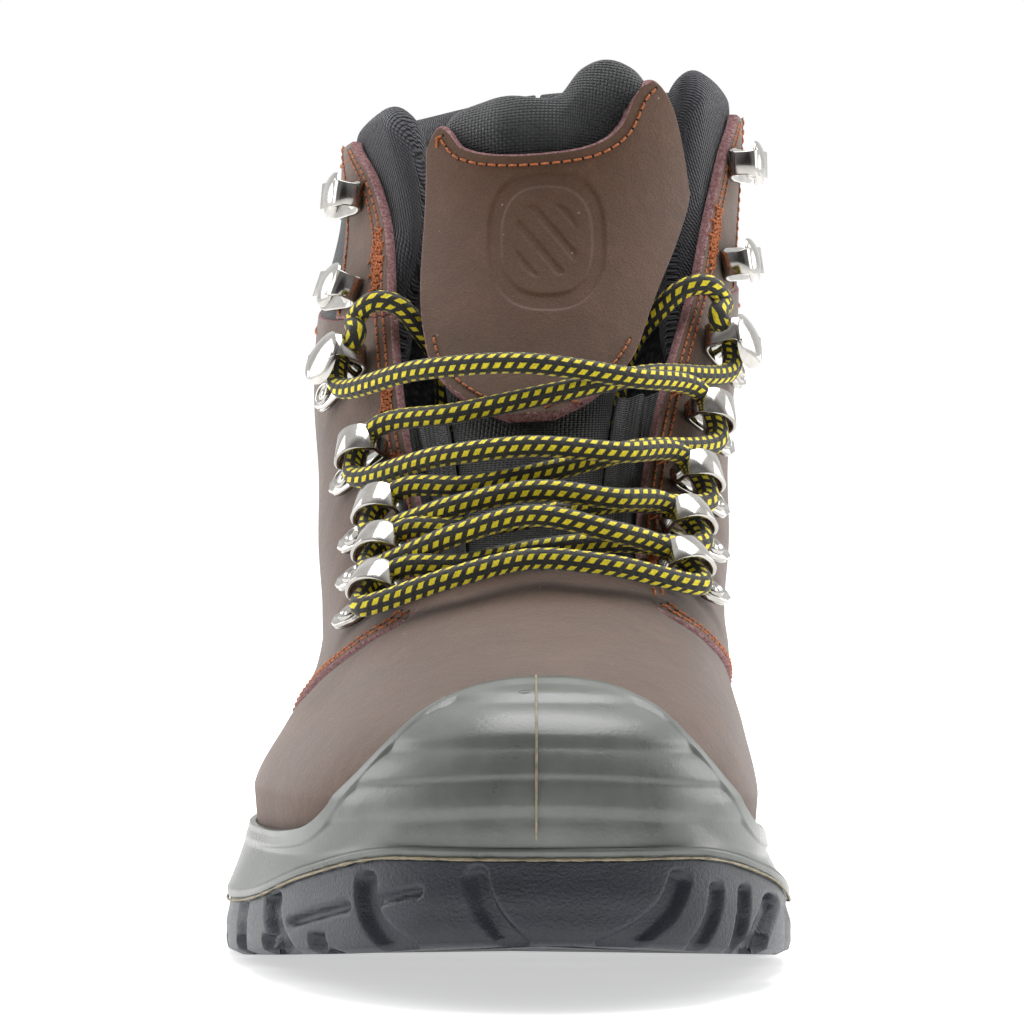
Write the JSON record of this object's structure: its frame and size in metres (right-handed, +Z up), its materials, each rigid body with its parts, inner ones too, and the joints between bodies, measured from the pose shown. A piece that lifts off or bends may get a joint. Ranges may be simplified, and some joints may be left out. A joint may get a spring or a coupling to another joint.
{
  "type": "steel toe work boot",
  "caption": "Right lace-up ankle safety boot in brown nubuck with a moulded toe guard over a steel cap, padded collar and fold-forward tongue.",
  "frame": {"origin": "centre of the bounding box on the ground plane, lace left out", "axes": "+Z up; toe towards -Y, heel towards +Y; +X towards the inner (medial) side of this right boot"},
  "size_m": [0.1138, 0.305, 0.1823],
  "materials": {
    "outsole": "blue-black moulded rubber, semi-gloss",
    "midsole": "grey moulded polyurethane, satin",
    "plate_steel": "stamped steel, lacquered",
    "board": "fibre board",
    "footbed": "moulded foam with felt cover",
    "nubuck": "brown oiled nubuck, matt",
    "woven_nylon": "black woven nylon",
    "knit_mesh": "black knitted spacer mesh over foam",
    "nickel": "bright nickel-plated steel",
    "lace_braid": "round black braid with yellow flecks",
    "aglet": "black heat-shrunk plastic tip"
  },
  "bodies": {
    "boot": {"outsole": "outsole", "midsole": "midsole", "penetration_plate": "plate_steel", "steel_toe_cap": "plate_steel", "insole_board": "board", "heel_counter": "board", "footbed": "footbed", "vamp": "nubuck", "heel_cover": "nubuck", "backstay": "nubuck", "tongue_patch_lower": "nubuck", "quarter_medial": "nubuck", "quarter_lateral": "nubuck", "collar_leather_medial": "nubuck", "collar_leather_lateral": "nubuck", "eyestay_medial": "nubuck", "eyestay_lateral": "nubuck", "tongue_base": "woven_nylon", "ankle_panel_medial": "woven_nylon", "ankle_panel_lateral": "woven_nylon", "gusset_medial": "woven_nylon", "gusset_lateral": "woven_nylon", "vamp_lining": "knit_mesh", "quarter_lining": "knit_mesh", "collar_padding_medial": "knit_mesh", "collar_padding_lateral": "knit_mesh", "lace_loop_medial_1": "nickel", "lace_loop_medial_2": "nickel", "lace_loop_medial_3": "nickel", "lace_loop_medial_4": "nickel", "lace_loop_lateral_1": "nickel", "lace_loop_lateral_2": "nickel", "lace_loop_lateral_3": "nickel", "lace_loop_lateral_4": "nickel", "lock_hook_medial": "nickel", "lock_hook_lateral": "nickel", "speed_hook_medial_1": "nickel", "speed_hook_medial_2": "nickel", "speed_hook_lateral_1": "nickel", "speed_hook_lateral_2": "nickel", "rivet_medial_1": "nickel", "rivet_medial_2": "nickel", "rivet_medial_3": "nickel", "rivet_medial_4": "nickel", "rivet_medial_5": "nickel", "rivet_medial_6": "nickel", "rivet_medial_7": "nickel", "rivet_lateral_1": "nickel", "rivet_lateral_2": "nickel", "rivet_lateral_3": "nickel", "rivet_lateral_4": "nickel", "rivet_lateral_5": "nickel", "rivet_lateral_6": "nickel", "rivet_lateral_7": "nickel", "lace": "lace_braid", "aglet_medial": "aglet", "aglet_lateral": "aglet"},
    "tongue": {"tongue_top": "knit_mesh", "tongue_patch": "nubuck"}
  },
  "joints": [
    {"name": "tongue_fold", "type": "hinge", "parent": "boot", "child": "tongue", "pos_m": [0.006, 0.003, 0.122], "axis": [1, 0, 0], "range_deg": [0, 25], "stiffness_Nm_per_rad": 0.12}
  ]
}
